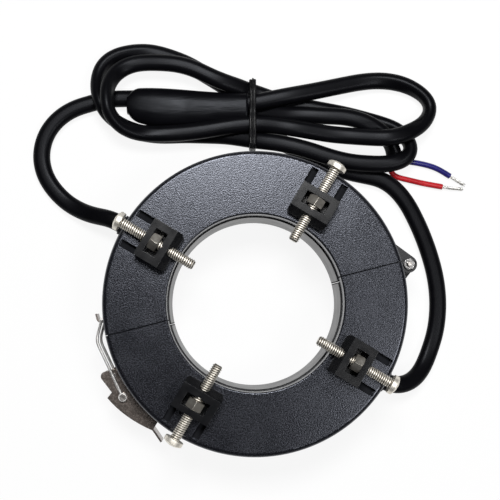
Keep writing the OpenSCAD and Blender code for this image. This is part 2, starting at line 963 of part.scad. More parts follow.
// Frame round the hank at the tie: w along the cable, grown by gap on every side
module tie_frame(w, gap) {
    in_len = tie_len - 2 * tie_t - 2 * gap;
    in_h = hank_h - tie_t - 2 * gap;
    difference() {
        translate([-w / 2, -tie_len / 2 - gap, 0])
            cube([w, tie_len + 2 * gap, hank_h + tie_t + gap]);
        translate([-w, -in_len / 2, tie_t + gap])
            cube([2 * w, in_len, in_h]);
    }
}

module output_cable() {
    color([0.05, 0.05, 0.05])
        difference() {
            translate([0, 0, hank_lift])
                linear_extrude(hank_h)
                    hank_outline();
            sleeve_body(seat_gap);
            at_tie()
                tie_frame(2 * tie_w + 2 * seat_gap, seat_gap);
        }
}

// Band that is wrapped twice round the hank, with a groove between its turns
module cable_tie() {
    groove = 0.3;
    color([0.06, 0.06, 0.06])
        at_tie()
            difference() {
                tie_frame(2 * tie_w, 0);
                difference() {
                    translate([-groove / 2, -tie_len, -1])
                        cube([groove, 2 * tie_len, 3 * hank_h]);
                    translate([-1, groove - tie_len / 2, groove])
                        cube([2, tie_len - 2 * groove, hank_h + tie_t - 2 * groove]);
                }
            }
}

module red_core() {
    color([0.78, 0.13, 0.15])
        sweep(red_route, core_wire_d, core_wire_d, 8);
}

module blue_core() {
    color([0.18, 0.18, 0.58])
        sweep(blue_route, core_wire_d, core_wire_d, 8);
}

module red_conductor() {
    color([0.75, 0.74, 0.72])
        sweep(red_strand_route, strand_d, strand_d, 8);
}

module blue_conductor() {
    color([0.75, 0.74, 0.72])
        sweep(blue_strand_route, strand_d, strand_d, 8);
}

upper_case();
upper_cover();
lower_case();
lower_cover();
upper_core();
lower_core();
upper_winding();
lower_winding();
hinge_bolt();
hinge_nut();
latch_keeper();
keeper_rivets();
latch_base();
base_rivets();
latch_lever();
latch_pivot_pin();
latch_bail();
bail_pin();
clamp_block(0);  // clamp_block_1
clamp_block(1);  // clamp_block_2
clamp_block(2);  // clamp_block_3
clamp_block(3);  // clamp_block_4
clamp_screw(0);  // clamp_screw_1
clamp_screw(1);  // clamp_screw_2
clamp_screw(2);  // clamp_screw_3
clamp_screw(3);  // clamp_screw_4
clamp_nut(0);  // clamp_nut_1
clamp_nut(1);  // clamp_nut_2
clamp_nut(2);  // clamp_nut_3
clamp_nut(3);  // clamp_nut_4
upper_grommet();
lower_grommet();
upper_lead();
lower_lead();
splice_sleeve();
output_cable();
cable_tie();
red_core();
blue_core();
red_conductor();
blue_conductor();
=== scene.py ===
import math

import bmesh
import bpy
from mathutils import Matrix, Vector


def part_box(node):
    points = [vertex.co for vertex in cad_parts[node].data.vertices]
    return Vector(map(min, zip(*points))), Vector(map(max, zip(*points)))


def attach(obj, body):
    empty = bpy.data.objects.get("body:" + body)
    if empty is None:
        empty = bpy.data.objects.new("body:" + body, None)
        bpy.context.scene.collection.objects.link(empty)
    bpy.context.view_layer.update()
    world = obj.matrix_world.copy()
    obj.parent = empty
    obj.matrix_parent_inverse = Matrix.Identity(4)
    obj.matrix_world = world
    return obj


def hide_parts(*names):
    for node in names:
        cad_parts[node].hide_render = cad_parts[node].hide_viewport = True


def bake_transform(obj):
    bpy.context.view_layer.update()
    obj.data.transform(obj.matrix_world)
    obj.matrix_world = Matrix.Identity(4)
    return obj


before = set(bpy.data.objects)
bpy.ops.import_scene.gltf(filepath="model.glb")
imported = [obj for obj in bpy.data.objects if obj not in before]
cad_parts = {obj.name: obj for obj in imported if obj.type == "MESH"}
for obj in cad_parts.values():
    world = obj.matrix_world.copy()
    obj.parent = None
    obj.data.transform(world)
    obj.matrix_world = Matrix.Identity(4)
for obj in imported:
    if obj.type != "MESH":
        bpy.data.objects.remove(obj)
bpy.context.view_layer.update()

MM = 0.001
UP = Vector((0, 0, 1))
scene = bpy.context.scene

COVER_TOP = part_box("upper_cover")[1][2]
COVER_LAP = 2.1 * MM  # the lower cover laps this far over the upper half
EDGE_ROUND = 0.3 * MM  # how far moulded edges look rounded

# Radii between which a mask on the housing comes in, going away from 0 and towards 1
BORE_EDGE = (42.6 * MM, 43.2 * MM)
RIM_EDGE = (71.5 * MM, 71.0 * MM)
SLOT_INNER = (43.6 * MM, 43.7 * MM)
SLOT_OUTER = (70.7 * MM, 70.6 * MM)
SLOT_DEPTH = (COVER_TOP - 0.2 * MM, COVER_TOP - 0.9 * MM)
# painted shade: a near-black colour put inside the slots and along the seams between parts, where
# shade falls
PAINTED_GAP_SHADE = (0.0006, 0.0006, 0.0008)


# ---------------------------------------------------------------- materials

class Mat:
    """A material with a Principled shader, and short calls for its nodes.

    Whatever is the same all over is a plain value on the shader's own socket, so only colour,
    roughness and normal are ever linked.
    """

    def __init__(self, name, color, rough=0.5, metal=0.0, spec=0.5):
        self.m = bpy.data.materials.new(name)
        self.m.use_nodes = True
        self.t = self.m.node_tree
        self.bsdf = self.t.nodes["Principled BSDF"]
        self.bsdf.inputs["Base Color"].default_value = (*color, 1)
        self.bsdf.inputs["Roughness"].default_value = rough
        self.bsdf.inputs["Metallic"].default_value = metal
        self.bsdf.inputs["Specular IOR Level"].default_value = spec
        self.coord = self.node("ShaderNodeTexCoord").outputs["Object"]

    def node(self, kind, **props):
        n = self.t.nodes.new(kind)
        for k, v in props.items():
            setattr(n, k, v)
        return n

    def link(self, a, b):
        self.t.links.new(a, b)

    def put(self, sock, value):
        """Links a node's output to a socket, or sets the socket to a plain value."""
        if hasattr(value, "is_output"):
            self.link(value, sock)
        else:
            sock.default_value = value

    def math(self, op, a, b=0.0):
        n = self.node("ShaderNodeMath", operation=op)
        self.put(n.inputs[0], a)
        self.put(n.inputs[1], b)
        return n.outputs[0]

    def noise(self, scale, detail=2.0, rough=0.5, vector=None):
        n = self.node("ShaderNodeTexNoise")
        self.link(vector or self.coord, n.inputs["Vector"])
        n.inputs["Scale"].default_value = scale
        n.inputs["Detail"].default_value = detail
        n.inputs["Roughness"].default_value = rough
        return n.outputs["Fac"]

    def cells(self, scale):
        n = self.node("ShaderNodeTexVoronoi")
        self.link(self.coord, n.inputs["Vector"])
        n.inputs["Scale"].default_value = scale
        return n.outputs["Distance"]

    def ramp(self, fac, lo, hi, a=0.0, b=1.0):
        """Maps lo..hi to a..b, clamped; lo may be above hi."""
        n = self.node("ShaderNodeMapRange", clamp=True)
        self.put(n.inputs["Value"], fac)
        n.inputs["From Min"].default_value = lo
        n.inputs["From Max"].default_value = hi
        n.inputs["To Min"].default_value = a
        n.inputs["To Max"].default_value = b
        return n.outputs["Result"]

    def mix(self, fac, a, b):
        n = self.node("ShaderNodeMix", data_type="RGBA")
        color_a, color_b, result = n.inputs[6], n.inputs[7], n.outputs[2]
        self.put(n.inputs["Factor"], fac)
        self.put(color_a, (*a, 1) if isinstance(a, tuple) else a)
        self.put(color_b, (*b, 1) if isinstance(b, tuple) else b)
        return result

    def mix_value(self, fac, a, b):
        n = self.node("ShaderNodeMix", data_type="FLOAT")
        self.put(n.inputs[0], fac)
        self.put(n.inputs[2], a)
        self.put(n.inputs[3], b)
        return n.outputs[0]

    def color(self, value):
        self.put(self.bsdf.inputs["Base Color"], value)

    def rough(self, value):
        self.put(self.bsdf.inputs["Roughness"], value)

    def tint(self, *color):
        self.bsdf.inputs["Specular Tint"].default_value = (*color, 1)

    def edges(self, radius):
        """Rounds sharp edges in the shading, and returns where they are."""
        bev = self.node("ShaderNodeBevel", samples=6)
        bev.inputs["Radius"].default_value = radius
        geo = self.node("ShaderNodeNewGeometry")
        dot = self.node("ShaderNodeVectorMath", operation="DOT_PRODUCT")
        self.link(bev.outputs[0], dot.inputs[0])
        self.link(geo.outputs["Normal"], dot.inputs[1])
        self.bevel = bev.outputs[0]
        return self.ramp(dot.outputs["Value"], 0.995, 0.8)

    def bump(self, height, strength, distance, under=None):
        """Bumps the surface, over the rounded normal where one is given."""
        n = self.node("ShaderNodeBump")
        self.put(n.inputs["Height"], height)
        self.put(n.inputs["Strength"], strength)
        n.inputs["Distance"].default_value = distance
        if under is not None:
            self.link(under, n.inputs["Normal"])
        self.link(n.outputs[0], self.bsdf.inputs["Normal"])

    def radius(self):
        """Distance from the window's axis."""
        flat = self.node("ShaderNodeVectorMath", operation="MULTIPLY")
        self.link(self.coord, flat.inputs[0])
        flat.inputs[1].default_value = (1, 1, 0)
        length = self.node("ShaderNodeVectorMath", operation="LENGTH")
        self.link(flat.outputs[0], length.inputs[0])
        return length.outputs["Value"]

    def seam(self, at, half):
        """1 within half of the line where two halves meet."""
        n = self.node("ShaderNodeSeparateXYZ")
        self.link(self.coord, n.inputs[0])
        away = self.math("ABSOLUTE", self.math("SUBTRACT", n.outputs["Y"], at))
        return self.ramp(away, half * 1.3, half)

    def height(self):
        n = self.node("ShaderNodeSeparateXYZ")
        self.link(self.coord, n.inputs[0])
        return n.outputs["Z"]


def cover_plastic():
    m = Mat("cover_plastic", (0.004, 0.0042, 0.0055), 0.3, spec=0.55)
    m.tint(0.83, 0.87, 1.0)
    edge = m.edges(EDGE_ROUND)
    grain = m.noise(1600, 2, 0.55)
    cloud = m.noise(70, 3, 0.6)
    far, high = m.radius(), m.height()
    # grain on the flat face only, and shade inside the slots and along the parting line
    face = m.math("MULTIPLY", m.ramp(far, *BORE_EDGE), m.ramp(far, *RIM_EDGE))
    ring = m.math("MULTIPLY", m.ramp(far, *SLOT_INNER), m.ramp(far, *SLOT_OUTER))
    sunk = m.math("MULTIPLY", ring, m.ramp(high, *SLOT_DEPTH))
    dark = m.math("MAXIMUM", sunk, m.seam(COVER_LAP, 0.26 * MM))
    speck = m.mix(m.ramp(grain, 0.35, 0.7), (0.0024, 0.0025, 0.0034), (0.009, 0.0094, 0.0125))
    m.color(m.mix(dark, speck, PAINTED_GAP_SHADE))
    base = m.math("ADD", m.ramp(grain, 0.36, 0.66, 0.185, 0.32),
                  m.ramp(cloud, 0.3, 0.7, -0.025, 0.03))
    base = m.math("SUBTRACT", base, m.math("MULTIPLY", edge, 0.05))
    m.rough(m.math("MAXIMUM", base, m.math("MULTIPLY", dark, 0.95)))
    m.bump(grain, m.math("MULTIPLY", face, 0.6), 0.12 * MM, m.bevel)
    return m.m


def tub_plastic():
    m = Mat("tub_plastic", (0.006, 0.006, 0.0072), 0.4, spec=0.3)
    edge = m.edges(EDGE_ROUND)
    outside = m.ramp(m.radius(), *BORE_EDGE)
    grain = m.noise(2400, 3, 0.6)
    bore = m.ramp(m.noise(90, 3), 0.3, 0.7, 0.3, 0.38)
    wall = m.ramp(grain, 0.3, 0.7, 0.42, 0.52)
    # painted shade: the line where the two tubs meet is coloured near-black, as shade in the joint
    dark = m.seam(0.0, 0.6 * MM)
    base = m.math("SUBTRACT", m.mix_value(outside, bore, wall), m.math("MULTIPLY", edge, 0.08))
    m.rough(m.math("MAXIMUM", base, m.math("MULTIPLY", dark, 0.95)))
    speck = m.mix(grain, (0.005, 0.005, 0.006), (0.009, 0.009, 0.011))
    m.color(m.mix(dark, speck, PAINTED_GAP_SHADE))
    m.bump(grain, m.math("MULTIPLY", outside, 0.35), 0.08 * MM, m.bevel)
    return m.m


def block_plastic():
    m = Mat("block_plastic", (0.005, 0.0052, 0.0065), 0.24, spec=0.24)
    edge = m.edges(EDGE_ROUND)
    fine = m.noise(1500, 3)
    flow = m.noise(140, 4, 0.6)
    # painted highlight: the rounded edges are coloured lighter than the faces
    m.color(m.mix(edge, (0.004, 0.0042, 0.0052), (0.02, 0.021, 0.025)))
    m.rough(m.ramp(flow, 0.3, 0.7, 0.2, 0.3))
    m.bump(m.math("ADD", fine, flow), 0.16, 0.06 * MM, m.bevel)
    return m.m


def jacket(name="cable_jacket", shade=1.0, rough=0.34, spec=0.075):
    """Cable sheath or rubber; shade makes it lighter."""
    low = tuple(shade * c for c in (0.0018, 0.0018, 0.0024))
    mean = tuple(shade * c for c in (0.0025, 0.0025, 0.0032))
    high = tuple(shade * c for c in (0.0035, 0.0035, 0.0045))
    m = Mat(name, mean, rough, spec=spec)
    m.tint(0.9, 0.93, 1.0)
    long = m.noise(45, 4, 0.55)
    fine = m.noise(1900, 3)
    m.color(m.mix(m.ramp(long, 0.3, 0.7), low, high))
    m.rough(m.ramp(long, 0.25, 0.75, rough - 0.04, rough + 0.05))
    m.bump(m.math("ADD", m.math("MULTIPLY", long, 3), fine), 0.08, 0.08 * MM)
    return m.m


def sleeve_film():
    m = Mat("sleeve_film", (0.0022, 0.0022, 0.003), 0.3, spec=0.085)
    m.tint(0.88, 0.92, 1.0)
    # folds that run along the sleeve; their colour is painted lighter on the ridges and darker in
    # the creases, as painted sheen and painted shade
    turn = m.node("ShaderNodeVectorRotate", rotation_type="Z_AXIS")
    m.link(m.coord, turn.inputs["Vector"])
    turn.inputs["Angle"].default_value = math.radians(13.8)
    stretch = m.node("ShaderNodeVectorMath", operation="MULTIPLY")
    m.link(turn.outputs[0], stretch.inputs[0])
    stretch.inputs[1].default_value = (0.22, 1, 1)
    folds = m.noise(170, 3, 0.5, stretch.outputs[0])
    m.color(m.mix(folds, (0.0016, 0.0016, 0.0022), (0.0032, 0.0032, 0.0042)))
    m.rough(m.ramp(m.noise(80, 3), 0.3, 0.7, 0.27, 0.36))
    m.bump(folds, 0.5, 0.6 * MM)
    return m.m


def tie_nylon():
    m = Mat("tie_nylon", (0.004, 0.004, 0.0045), 0.4, spec=0.16)
    long = m.noise(400, 3)
    m.color(m.mix(m.ramp(long, 0.3, 0.7), (0.003, 0.003, 0.0034), (0.007, 0.007, 0.008)))
    m.rough(m.ramp(long, 0.3, 0.7, 0.32, 0.46))
    m.bump(long, 0.25, 0.15 * MM)
    return m.m


def insulation(name, dark, light):
    m = Mat(name, light, 0.3, spec=0.35)
    along = m.noise(160, 4)
    fine = m.noise(2500, 2)
    m.color(m.mix(m.ramp(along, 0.3, 0.72), dark, light))
    m.rough(m.ramp(along, 0.3, 0.7, 0.26, 0.38))
    m.bump(m.math("ADD", along, m.math("MULTIPLY", fine, 0.3)), 0.2, 0.1 * MM)
    return m.m


def metal(name, dark, light, rough=0.22, scale=300, grain=0.1, stain=None):
    """Metal between two shades, with a cloudy roughness and, if given, stains."""
    m = Mat(name, light, rough, 1.0)
    edge = m.edges(0.12 * MM)
    cloud = m.noise(scale, 4, 0.6)
    fine = m.noise(scale * 9, 3)
    base = m.mix(m.ramp(cloud, 0.32, 0.68), dark, light)
    if stain:
        spots = m.ramp(m.noise(scale * 0.4, 5, 0.7), 0.56, 0.7)
        base = m.mix(m.math("MULTIPLY", spots, 0.6), base, stain)
    m.color(base)
    cloudy = m.ramp(cloud, 0.3, 0.7, rough * 0.87, rough * 1.18)
    m.rough(m.math("ADD", cloudy, m.math("MULTIPLY", edge, 0.08)))
    m.bump(m.math("ADD", cloud, m.math("MULTIPLY", fine, 0.5)), grain, 0.06 * MM, m.bevel)
    return m.m


def core_steel():
    m = Mat("core_steel", (0.35, 0.36, 0.38), 0.35, 1.0)
    lines = m.node("ShaderNodeTexWave", wave_type="RINGS", rings_direction="Z")
    m.link(m.coord, lines.inputs["Vector"])
    lines.inputs["Scale"].default_value = 900
    lines.inputs["Distortion"].default_value = 0.6
    grit = m.noise(2200, 3)
    m.color(m.mix(lines.outputs["Fac"], (0.2, 0.2, 0.21), (0.45, 0.46, 0.48)))
    m.rough(m.ramp(grit, 0.3, 0.7, 0.28, 0.45))
    m.bump(m.math("ADD", lines.outputs["Fac"], grit), 0.3, 0.05 * MM)
    return m.m


def winding_tape():
    m = Mat("winding_tape", (0.5, 0.3, 0.06), 0.3, spec=0.5)
    flow = m.noise(120, 4)
    ridges = m.cells(400)
    m.color(m.mix(m.ramp(flow, 0.3, 0.7), (0.42, 0.22, 0.03), (0.6, 0.38, 0.09)))
    m.rough(m.ramp(flow, 0.3, 0.7, 0.22, 0.4))
    m.bump(m.math("ADD", flow, ridges), 0.4, 0.2 * MM)
    return m.m


MATS = {
    "cover": cover_plastic(),
    "tub": tub_plastic(),
    "block": block_plastic(),
    "jacket": jacket(),
    "grommet": jacket("grommet_rubber", 1.3, 0.5, 0.2),
    "sleeve": sleeve_film(),
    "tie": tie_nylon(),
    "red": insulation("red_insulation", (0.37, 0.008, 0.013), (0.56, 0.017, 0.024)),
    "blue": insulation("blue_insulation", (0.009, 0.008, 0.095), (0.019, 0.017, 0.19)),
    "nickel": metal("nickel", (0.72, 0.68, 0.6), (0.88, 0.85, 0.78), 0.5, 200, 0.01),
    # painted shade: the screw thread's root is coloured dark, as shade in the groove
    "groove": metal("thread_root_painted_shade", (0.07, 0.06, 0.05), (0.14, 0.12, 0.1), 0.5, 200, 0.01),
    "nut": metal("nut_nickel", (0.6, 0.56, 0.49), (0.78, 0.75, 0.68), 0.33, 250, 0.01),
    "hinge": metal("hinge_zinc", (0.6, 0.59, 0.58), (0.74, 0.73, 0.72), 0.18, 40, 0.002),
    "steel": metal("latch_steel", (0.26, 0.222, 0.197), (0.34, 0.295, 0.267), 0.25, 1000, 0.02,
                   stain=(0.22, 0.176, 0.148)),
    "wire": metal("bail_steel", (0.7, 0.68, 0.66), (0.88, 0.87, 0.85), 0.36, 500, 0.004),
    "rivet": metal("rivet_steel", (0.35, 0.33, 0.31), (0.6, 0.57, 0.54), 0.26, 600, 0.06),
    "tin": metal("tinned_copper", (0.55, 0.54, 0.52), (0.84, 0.83, 0.8), 0.4, 900, 0.05),
    "core": core_steel(),
    "winding": winding_tape(),
}


def dress(mat, *nodes):
    """Gives CAD nodes one material all over."""
    for name in nodes:
        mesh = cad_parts[name].data
        if not mesh.materials:
            mesh.materials.append(None)
        for i in range(len(mesh.materials)):
            mesh.materials[i] = MATS[mat]


dress("tub", "upper_case", "lower_case")
dress("cover", "upper_cover", "lower_cover")
dress("core", "upper_core", "lower_core")
dress("winding", "upper_winding", "lower_winding")
dress("hinge", "hinge_nut")
dress("rivet", "hinge_bolt")
dress("steel", "latch_keeper", "latch_base", "latch_lever")
dress("rivet", "keeper_rivets", "base_rivets", "latch_pivot_pin", "bail_pin")
dress("wire", "latch_bail")
dress("block", *[f"clamp_block_{i}" for i in (1, 2, 3, 4)])
dress("nut", *[f"clamp_nut_{i}" for i in (1, 2, 3, 4)])
dress("nickel", *[f"clamp_screw_{i}" for i in (1, 2, 3, 4)])
dress("grommet", "upper_grommet", "lower_grommet")


# ------------------------------------------------------------ mesh building

def new_object(name, bm, mat):
    mesh = bpy.data.meshes.new(name)
    bmesh.ops.recalc_face_normals(bm, faces=bm.faces)
    bm.to_mesh(mesh)
    bm.free()
    for p in mesh.polygons:
        p.use_smooth = True
    obj = bpy.data.objects.new(name, mesh)
    scene.collection.objects.link(obj)
    mesh.materials.append(MATS[mat])
    return obj


def skin(bm, rings):
    """Faces between each ring of vertices and the next, counted by the first ring."""
    n = len(rings[0])
    for r, s in zip(rings, rings[1:]):
        for k in range(n):
            q = (k + 1) % n
            bm.faces.new((r[k], r[q], s[q], s[k]))


def held(x):
    """x held between 0 and 1."""
    return min(1.0, max(0.0, x))


def smooth(x, lo, hi):
    """Rises gently from 0 at lo to 1 at hi."""
    t = held((x - lo) / (hi - lo))
    return t * t * (3 - 2 * t)


def spline(points, step):
    """A smooth line through points of (x, y, z, roll), sampled about every step."""
    p = [Vector(a) for a in points]
    p = [2 * p[0] - p[1]] + p + [2 * p[-1] - p[-2]]
    out = []
    for i in range(1, len(p) - 2):
        a, b, c, d = p[i - 1:i + 3]
        n = max(2, round((c.xyz - b.xyz).length / step))
        for k in range(n):
            t = k / n
            out.append(0.5 * ((2 * b) + (c - a) * t + (2 * a - 5 * b + 4 * c - d) * t * t
                              + (3 * b - a - 3 * c + d) * t ** 3))
    out.append(p[-2])
    return out


def eased(line, rounds):
    """Evens out a line's curvature, with both ends held."""
    for _ in range(rounds):
        line = [line[0]] + [
            0.25 * line[i - 1] + 0.5 * line[i] + 0.25 * line[i + 1] for i in range(1, len(line) - 1)
        ] + [line[-1]]
    return line


def oval(w, h, n):
    """Points round a flat oval: two half circles joined by straight sides."""
    r, s = h / 2, (w - h) / 2
    half = [(s + r * math.cos(a), r * math.sin(a))
            for a in [math.pi * (k / (n // 2 - 1) - 0.5) for k in range(n // 2)]]
    return half + [(-x, -y) for x, y in half]


def direction(line, i):
    """Which way a line runs at its point i."""
    return (line[min(i + 1, len(line) - 1)].xyz - line[max(i - 1, 0)].xyz).normalized()


def across(along):
    """The level and the upward direction square to along."""
    side = UP.cross(along).normalized()
    return side, along.cross(side)


def swept(name, line, w, h, mat, sides=24, end_round=0.0):
    """A tube along a line of (x, y, z, roll); roll turns the oval round the line."""
    end_narrows = 0.3  # a rounded end is narrower by this share
    bm = bmesh.new()
    rings = []
    for i, p in enumerate(line):
        side, up = across(direction(line, i))
        roll = math.radians(p.w)
        a = side * math.cos(roll) + up * math.sin(roll)
        b = up * math.cos(roll) - side * math.sin(roll)
        rings.append([bm.verts.new(p.xyz + a * x + b * y) for x, y in oval(w, h, sides)])
    skin(bm, rings)
    for ring, j, sign in ((rings[0], 0, -1), (rings[-1], len(line) - 1, 1)):
        out = direction(line, j) * sign
        centre = line[j].xyz
        prev = ring
        if end_round:
            for share in (0.5, 1.0):
                a = share * math.pi / 2
                cur = [bm.verts.new(centre + (v.co - centre) * (1 - end_narrows * (1 - math.cos(a)))
                                    + out * end_round * math.sin(a)) for v in ring]
                skin(bm, [prev, cur])
                prev = cur
        bm.faces.new(prev)
    return new_object(name, bm, mat)


def metres(route):
    """Route points as (x, y, z, roll), with a roll of 0 where none is given."""
    return [(*(c * MM for c in p[:3]), p[3] if len(p) > 3 else 0.0) for p in route]


# --------------------------------------------------------------- the cables
# Route points in millimetres: x, y, height of the middle, and the oval's roll in degrees

UPPER_ROUTE = [
    (-49.5, 49.5, 14), (-55.5, 55.5, 14), (-61, 60, 12.7), (-68, 63.5, 9.2), (-74.5, 68, 5.6),
    (-81, 74.5, 3.6), (-86, 83, 3.3), (-88.5, 91.5, 3.3), (-88.3, 100, 3.3), (-85.2, 108, 3.3),
    (-80, 114.3, 3.3), (-73, 118.8, 3.3), (-65, 121.2, 3.3), (-57, 121.6, 3.3), (-48.5, 121.8, 3.3),
    (-38, 119.6, 3.6), (-28, 116.9, 4.4),
]
LOWER_ROUTE = [
    (49.5, -49.5, 14), (55.5, -55.5, 14), (61.4, -58.3, 12.6), (68.8, -57.9, 9.4), (75.4, -54, 6),
    (82, -46.2, 3.8), (88.5, -35.5, 3.3), (93, -22.5, 3.3), (95, -9, 3.3), (94.8, 5, 3.3),
    (93.1, 18.9, 3.3), (90, 32, 3.3), (85.2, 41.4, 3.3), (80.2, 46.5, 3.3), (73.8, 49.9, 3.3),
    (63.5, 55, 3.3), (54, 62.5, 3.3), (45, 69.5, 3.3), (37.5, 75.5, 3.3), (30.5, 81.5, 3.3),
    (24, 87, 3.4), (18.5, 92, 4), (13, 96.5, 5.2), (6, 100, 6.2),
]
HANK_ROUTE = [
    (4, 104.5, 7), (12.5, 103, 7.8), (18.5, 102, 9), (25.5, 100.5, 10), (34.5, 100, 10.1),
    (44.5, 99.5, 9.9), (58, 99, 8), (73.5, 98.8, 5.5), (82.5, 98.5, 4.2, 5), (92.5, 97, 3.6, 15),
    (102.4, 93, 4, 40), (109.8, 87.3, 4.5, 70), (114.3, 81, 4.8, 85), (114.9, 76, 5, 85),
    (112, 72, 6, 75), (107.5, 68.5, 8.2, 50), (100, 66, 11.6, 20), (93, 65, 13.3, 5),
    (87, 65.5, 14, 0), (79, 68, 12.6, 0), (69, 71.5, 11, 0), (59, 75, 11, 0), (49.5, 79, 12, 0),
    (40, 83, 12.8, 0), (31, 87, 11.4, 0), (24, 89.5, 10.3, 0), (16, 91, 10, 0), (6.5, 92, 9.8, 0),
    (-5, 93, 9.7, 0), (-16, 94.5, 9.7, 0), (-26, 96.5, 9.8, 5), (-33.5, 98.5, 10.3, 15),
    (-39.5, 101, 11.8, 35), (-44.5, 105, 14, 60), (-47, 109.5, 16, 75), (-48, 114, 17, 80),
    (-47.2, 119, 16.6, 80), (-46, 124.3, 15, 70), (-43.4, 129, 12.4, 50), (-39.3, 132.9, 10, 25),
    (-33, 135.1, 8.8, 8), (-25.8, 134.9, 8.8, 0), (-16.8, 132.6, 9.4, 0), (-8, 129.5, 9.8, 0),
    (0, 125, 9.7, 0), (6.5, 119.5, 9.7, 0), (13.5, 114.5, 9, 0), (20, 111, 6.4, 0),
    (25.5, 107.5, 4, 0), (30, 105, 3.3, 0), (35, 101.5, 3.2, 0), (44, 96.5, 3.2, 0),
    (56.5, 90.5, 3.2, 0), (70.5, 84, 3.2, 0), (81.5, 78, 3.2, 0), (90.5, 72.5, 3.5, 15),
    (96, 68, 4.3, 50), (99, 63.5, 5, 80), (99.5, 58.5, 6.4, 80), (96, 54, 8.6, 45),
    (90, 52.5, 9.7, 10), (83.5, 53, 9.8, 0), (76, 55, 9.8, 0), (66, 58.5, 9.8, 0),
    (56.5, 63.5, 9.8, 0), (48, 69, 9.7, 0), (40, 73.5, 9.5, 0), (31, 78, 8.6, 0), (23, 81, 7.4, 0),
    (15.5, 84.5, 5.6, 0), (7.5, 88, 4, 0), (-2.5, 91, 3.3, 0), (-13.5, 94, 3.3, 0),
    (-25, 96.5, 3.3, 0), (-34.5, 100, 3.6, 15), (-41, 104, 5.2, 40), (-46, 108.5, 7.8, 60),
    (-49.5, 113, 10.2, 70), (-51, 118.5, 11, 75), (-51.5, 123.5, 10, 80), (-51, 129.5, 7, 80),
    (-48.5, 136, 5, 75), (-44, 140.5, 4.5, 60), (-37.5, 142.5, 4.2, 45), (-31, 142.5, 3.8, 30),
    (-24, 141.5, 3.5, 10), (-17, 139, 3.2, 0), (-9.5, 134.5, 3.2, 0), (-2, 129, 3.2, 0),
    (4, 123, 3.2, 0), (10, 117, 3.2, 0), (15, 111.5, 3.2, 0), (19, 106, 3.2, 0),
    (22, 100.5, 3.2, 0), (26, 96.5, 3.4, 0), (30.5, 94.5, 4.6, 0), (36.5, 92, 6.6, 0),
    (42, 90, 8.2, 0), (49.5, 88, 9.3, 0), (59, 85, 9.6, 0), (69, 82, 9.6, 0), (77, 78, 9.6, 0),
    (83, 73, 9.2, 15), (87.5, 68.5, 7, 45), (89.5, 63.5, 5, 70), (90.5, 59, 4.3, 60),
    (90, 54, 3.6, 20),
]
RED_ROUTE = [
    (88.8, 56.5, 3.3), (88.2, 53.8, 3.2), (87, 51.4, 2.6), (86.3, 48.7, 2), (88.5, 46, 1.6),
    (93.8, 43.2, 1.6), (101.7, 39.1, 1.6), (110.8, 35, 1.6),
]
BLUE_ROUTE = [
    (91.6, 58.5, 3.3), (91.8, 56.2, 3.3), (92.6, 54.2, 3.2), (94.9, 52.6, 2.8), (98.5, 51.4, 2.2),
    (104, 49, 1.6), (110.4, 45.2, 1.6), (116.2, 39.4, 1.6),
]
RED_STRANDS = [(109.8, 35.5, 1.6), (114.6, 33.3, 1.5), (118, 32.2, 1.2), (121.2, 31.2, 0.9)]
BLUE_STRANDS = [(115.5, 40.1, 1.6), (118.6, 36.8, 1.5), (120.6, 34.8, 1.2), (122.6, 32.8, 0.9)]
CABLE_W, CABLE_T, CORE_D = 8.8 * MM, 6.4 * MM, 3 * MM


def cable(name, route, w, h, mat, node, rounds=8, rides=True, **kw):
    """A cable in a CAD node's place, its line eased rounds times."""
    line = eased(spline(metres(route), 1.6 * MM), rounds)
    obj = swept(name, line, w, h, mat, **kw)
    if rides:
        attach(obj, "upper_half")
    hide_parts(node)
    return obj, line


upper_lead, upper_line = cable("upper_lead_jacket", UPPER_ROUTE, CABLE_W, CABLE_T, "jacket",
                               "upper_lead")
lower_lead, lower_line = cable("lower_lead_jacket", LOWER_ROUTE, CABLE_W, CABLE_T, "jacket",
                               "lower_lead", rides=False)
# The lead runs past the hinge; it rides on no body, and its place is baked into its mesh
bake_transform(lower_lead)
hank, hank_line = cable("output_cable_jacket", HANK_ROUTE, CABLE_W, CABLE_T, "jacket",
                        "output_cable", end_round=0.4 * MM)
red, red_line = cable("red_core_insulation", RED_ROUTE, CORE_D, CORE_D, "red", "red_core",
                      rounds=4, sides=16, end_round=0.15 * MM)
blue, blue_line = cable("blue_core_insulation", BLUE_ROUTE, CORE_D, CORE_D, "blue", "blue_core",
                        rounds=4, sides=16, end_round=0.15 * MM)


def strands(name, route, node):
    """Seven tinned wires, six of them twisted round one, splayed and uneven at their ends."""
    wire_r, lay_r = 0.3 * MM, 0.52 * MM
    sides = 8
    twist = 0.3  # radians from one point of the line to the next
    splay = 0.45
    line = eased(spline(metres(route), 0.35 * MM), 4)
    last = len(line) - 1
    bm = bmesh.new()
    for w in range(7):
        rings = []
        stop = last - (w * 3) % 4
        for i in range(stop + 1):
            side, up = across(direction(line, i))
            a = w * math.pi / 3 + i * twist
            opened = max(0.0, i / last - 0.75) * 4  # over the line's last quarter
            spread = lay_r * (1 + splay * opened) if w < 6 else 0
            c = line[i].xyz + side * math.cos(a) * spread + up * math.sin(a) * spread
            rings.append([bm.verts.new(c + side * wire_r * math.cos(b) + up * wire_r * math.sin(b))
                          for b in [k * math.pi * 2 / sides for k in range(sides)]])
        skin(bm, rings)
        bm.faces.new(rings[0])
        bm.faces.new(rings[-1])
    obj = new_object(name, bm, "tin")
    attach(obj, "upper_half")
    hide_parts(node)
    return obj


red_strands = strands("red_strands", RED_STRANDS, "red_conductor")
blue_strands = strands("blue_strands", BLUE_STRANDS, "blue_conductor")


